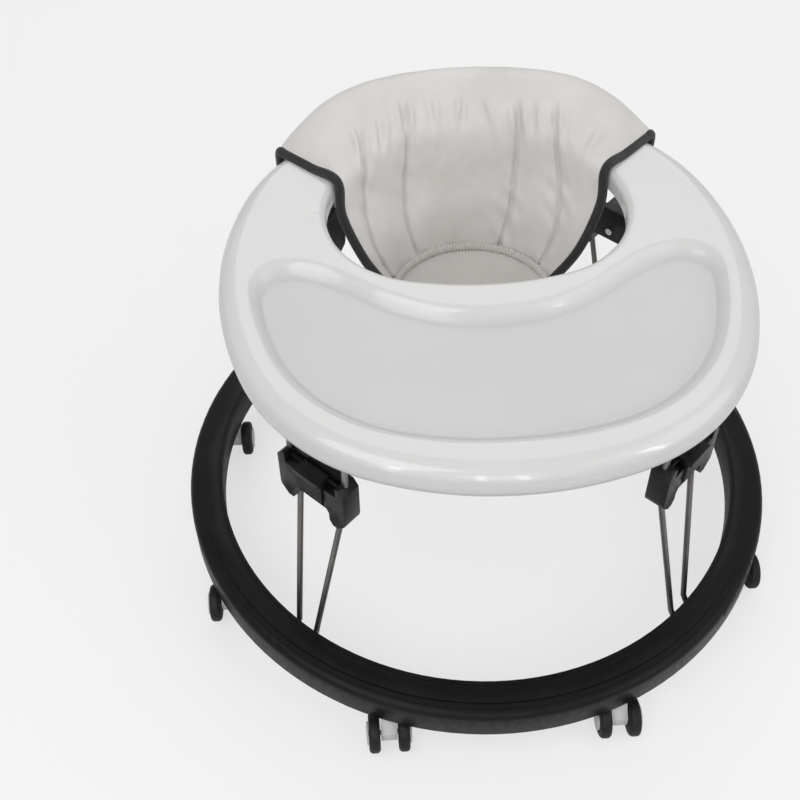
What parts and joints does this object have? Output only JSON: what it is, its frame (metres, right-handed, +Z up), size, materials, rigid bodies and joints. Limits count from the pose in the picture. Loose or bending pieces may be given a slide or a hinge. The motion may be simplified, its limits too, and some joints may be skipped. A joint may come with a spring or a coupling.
{
  "type": "baby walker",
  "caption": "Round baby walker: castored base ring, wire legs with latched height heads, white tray table and a padded hanging seat.",
  "frame": {"origin": "on the floor under the centre of the base ring", "axes": "+Z up, -Y the way the child faces (the tray side), +X to the left hand of a child looking along -Y"},
  "size_m": [0.6399, 0.64, 0.431],
  "materials": {
    "ring_black": "satin moulded",
    "plate_black": "matte moulded",
    "screw_steel": "zinc plated",
    "table_white": "gloss moulded",
    "seat_cloth": "coated cloth, padded",
    "sling_cloth": "coated cloth",
    "binding_black": "woven tape",
    "leg_wire": "black oxide",
    "post_wire": "dark plated",
    "head_black": "satin moulded",
    "lever_black": "satin moulded",
    "castor_pale": "moulded",
    "wheel_black": "moulded"
  },
  "bodies": {
    "base": {"base_ring": "ring_black", "leg_clamps": "plate_black", "clamp_screws": "screw_steel", "head_screws": "screw_steel", "lever_pins": "screw_steel", "leg_front_left": "leg_wire", "leg_front_right": "leg_wire", "leg_rear_right": "leg_wire", "leg_rear_left": "leg_wire", "head_front_left": "head_black", "head_front_right": "head_black", "head_rear_right": "head_black", "head_rear_left": "head_black"},
    "table": {"table_top": "table_white", "post_plates": "plate_black", "plate_screws": "screw_steel", "post_front_left": "post_wire", "post_front_right": "post_wire", "post_rear_right": "post_wire", "post_rear_left": "post_wire", "seat_back": "seat_cloth", "seat_sling": "sling_cloth", "seat_binding": "binding_black", "seat_clips": "plate_black"},
    "latch_front_left": {"lever_front_left": "lever_black"},
    "latch_front_right": {"lever_front_right": "lever_black"},
    "latch_rear_right": {"lever_rear_right": "lever_black"},
    "latch_rear_left": {"lever_rear_left": "lever_black"},
    "castor_1": {"castor_1_fork": "castor_pale", "castor_1_axle": "castor_pale"},
    "castor_2": {"castor_2_fork": "castor_pale", "castor_2_axle": "castor_pale"},
    "castor_3": {"castor_3_fork": "castor_pale", "castor_3_axle": "castor_pale"},
    "castor_4": {"castor_4_fork": "castor_pale", "castor_4_axle": "castor_pale"},
    "castor_5": {"castor_5_fork": "castor_pale", "castor_5_axle": "castor_pale"},
    "castor_6": {"castor_6_fork": "castor_pale", "castor_6_axle": "castor_pale"},
    "castor_7": {"castor_7_fork": "castor_pale", "castor_7_axle": "castor_pale"},
    "castor_8": {"castor_8_fork": "castor_pale", "castor_8_axle": "castor_pale"},
    "castor_1_wheel_left": {"castor_1_wheel_left": "wheel_black"},
    "castor_1_wheel_right": {"castor_1_wheel_right": "wheel_black"},
    "castor_2_wheel_left": {"castor_2_wheel_left": "wheel_black"},
    "castor_2_wheel_right": {"castor_2_wheel_right": "wheel_black"},
    "castor_3_wheel_left": {"castor_3_wheel_left": "wheel_black"},
    "castor_3_wheel_right": {"castor_3_wheel_right": "wheel_black"},
    "castor_4_wheel_left": {"castor_4_wheel_left": "wheel_black"},
    "castor_4_wheel_right": {"castor_4_wheel_right": "wheel_black"},
    "castor_5_wheel_left": {"castor_5_wheel_left": "wheel_black"},
    "castor_5_wheel_right": {"castor_5_wheel_right": "wheel_black"},
    "castor_6_wheel_left": {"castor_6_wheel_left": "wheel_black"},
    "castor_6_wheel_right": {"castor_6_wheel_right": "wheel_black"},
    "castor_7_wheel_left": {"castor_7_wheel_left": "wheel_black"},
    "castor_7_wheel_right": {"castor_7_wheel_right": "wheel_black"},
    "castor_8_wheel_left": {"castor_8_wheel_left": "wheel_black"},
    "castor_8_wheel_right": {"castor_8_wheel_right": "wheel_black"}
  },
  "joints": [
    {"name": "table_height", "type": "slide", "parent": "base", "child": "table", "axis": [0, 0, 1], "range_m": [0, 0.03]},
    {"name": "latch_front_left_pull", "type": "hinge", "parent": "base", "child": "latch_front_left", "pos_m": [-0.17183, -0.17183, 0.259], "axis": [0.7071, -0.7071, 0], "range_deg": [0, 20], "stiffness_Nm_per_rad": 0.08},
    {"name": "latch_front_right_pull", "type": "hinge", "parent": "base", "child": "latch_front_right", "pos_m": [0.17183, -0.17183, 0.259], "axis": [0.7071, 0.7071, 0], "range_deg": [0, 20], "stiffness_Nm_per_rad": 0.08},
    {"name": "latch_rear_right_pull", "type": "hinge", "parent": "base", "child": "latch_rear_right", "pos_m": [0.17183, 0.17183, 0.259], "axis": [-0.7071, 0.7071, 0], "range_deg": [0, 20], "stiffness_Nm_per_rad": 0.08},
    {"name": "latch_rear_left_pull", "type": "hinge", "parent": "base", "child": "latch_rear_left", "pos_m": [-0.17183, 0.17183, 0.259], "axis": [-0.7071, -0.7071, 0], "range_deg": [0, 20], "stiffness_Nm_per_rad": 0.08},
    {"name": "castor_1_swivel", "type": "hinge", "parent": "base", "child": "castor_1", "pos_m": [-0.27855, -0.11538, 0.045], "axis": [0, 0, 1], "continuous": true},
    {"name": "castor_2_swivel", "type": "hinge", "parent": "base", "child": "castor_2", "pos_m": [-0.11538, -0.27855, 0.045], "axis": [0, 0, 1], "continuous": true},
    {"name": "castor_3_swivel", "type": "hinge", "parent": "base", "child": "castor_3", "pos_m": [0.11538, -0.27855, 0.045], "axis": [0, 0, 1], "continuous": true},
    {"name": "castor_4_swivel", "type": "hinge", "parent": "base", "child": "castor_4", "pos_m": [0.27855, -0.11538, 0.045], "axis": [0, 0, 1], "continuous": true},
    {"name": "castor_5_swivel", "type": "hinge", "parent": "base", "child": "castor_5", "pos_m": [0.27855, 0.11538, 0.045], "axis": [0, 0, 1], "continuous": true},
    {"name": "castor_6_swivel", "type": "hinge", "parent": "base", "child": "castor_6", "pos_m": [0.11538, 0.27855, 0.045], "axis": [0, 0, 1], "continuous": true},
    {"name": "castor_7_swivel", "type": "hinge", "parent": "base", "child": "castor_7", "pos_m": [-0.11538, 0.27855, 0.045], "axis": [0, 0, 1], "continuous": true},
    {"name": "castor_8_swivel", "type": "hinge", "parent": "base", "child": "castor_8", "pos_m": [-0.27855, 0.11538, 0.045], "axis": [0, 0, 1], "continuous": true},
    {"name": "castor_1_wheel_left_spin", "type": "hinge", "parent": "castor_1", "child": "castor_1_wheel_left", "pos_m": [-0.27855, -0.13438, 0.02], "axis": [1, 0, 0], "continuous": true},
    {"name": "castor_1_wheel_right_spin", "type": "hinge", "parent": "castor_1", "child": "castor_1_wheel_right", "pos_m": [-0.27855, -0.13438, 0.02], "axis": [1, 0, 0], "continuous": true},
    {"name": "castor_2_wheel_left_spin", "type": "hinge", "parent": "castor_2", "child": "castor_2_wheel_left", "pos_m": [-0.11538, -0.29755, 0.02], "axis": [1, 0, 0], "continuous": true},
    {"name": "castor_2_wheel_right_spin", "type": "hinge", "parent": "castor_2", "child": "castor_2_wheel_right", "pos_m": [-0.11538, -0.29755, 0.02], "axis": [1, 0, 0], "continuous": true},
    {"name": "castor_3_wheel_left_spin", "type": "hinge", "parent": "castor_3", "child": "castor_3_wheel_left", "pos_m": [0.11538, -0.29755, 0.02], "axis": [1, 0, 0], "continuous": true},
    {"name": "castor_3_wheel_right_spin", "type": "hinge", "parent": "castor_3", "child": "castor_3_wheel_right", "pos_m": [0.11538, -0.29755, 0.02], "axis": [1, 0, 0], "continuous": true},
    {"name": "castor_4_wheel_left_spin", "type": "hinge", "parent": "castor_4", "child": "castor_4_wheel_left", "pos_m": [0.27855, -0.13438, 0.02], "axis": [1, 0, 0], "continuous": true},
    {"name": "castor_4_wheel_right_spin", "type": "hinge", "parent": "castor_4", "child": "castor_4_wheel_right", "pos_m": [0.27855, -0.13438, 0.02], "axis": [1, 0, 0], "continuous": true},
    {"name": "castor_5_wheel_left_spin", "type": "hinge", "parent": "castor_5", "child": "castor_5_wheel_left", "pos_m": [0.27855, 0.09638, 0.02], "axis": [1, 0, 0], "continuous": true},
    {"name": "castor_5_wheel_right_spin", "type": "hinge", "parent": "castor_5", "child": "castor_5_wheel_right", "pos_m": [0.27855, 0.09638, 0.02], "axis": [1, 0, 0], "continuous": true},
    {"name": "castor_6_wheel_left_spin", "type": "hinge", "parent": "castor_6", "child": "castor_6_wheel_left", "pos_m": [0.11538, 0.25955, 0.02], "axis": [1, 0, 0], "continuous": true},
    {"name": "castor_6_wheel_right_spin", "type": "hinge", "parent": "castor_6", "child": "castor_6_wheel_right", "pos_m": [0.11538, 0.25955, 0.02], "axis": [1, 0, 0], "continuous": true},
    {"name": "castor_7_wheel_left_spin", "type": "hinge", "parent": "castor_7", "child": "castor_7_wheel_left", "pos_m": [-0.11538, 0.25955, 0.02], "axis": [1, 0, 0], "continuous": true},
    {"name": "castor_7_wheel_right_spin", "type": "hinge", "parent": "castor_7", "child": "castor_7_wheel_right", "pos_m": [-0.11538, 0.25955, 0.02], "axis": [1, 0, 0], "continuous": true},
    {"name": "castor_8_wheel_left_spin", "type": "hinge", "parent": "castor_8", "child": "castor_8_wheel_left", "pos_m": [-0.27855, 0.09638, 0.02], "axis": [1, 0, 0], "continuous": true},
    {"name": "castor_8_wheel_right_spin", "type": "hinge", "parent": "castor_8", "child": "castor_8_wheel_right", "pos_m": [-0.27855, 0.09638, 0.02], "axis": [1, 0, 0], "continuous": true}
  ]
}
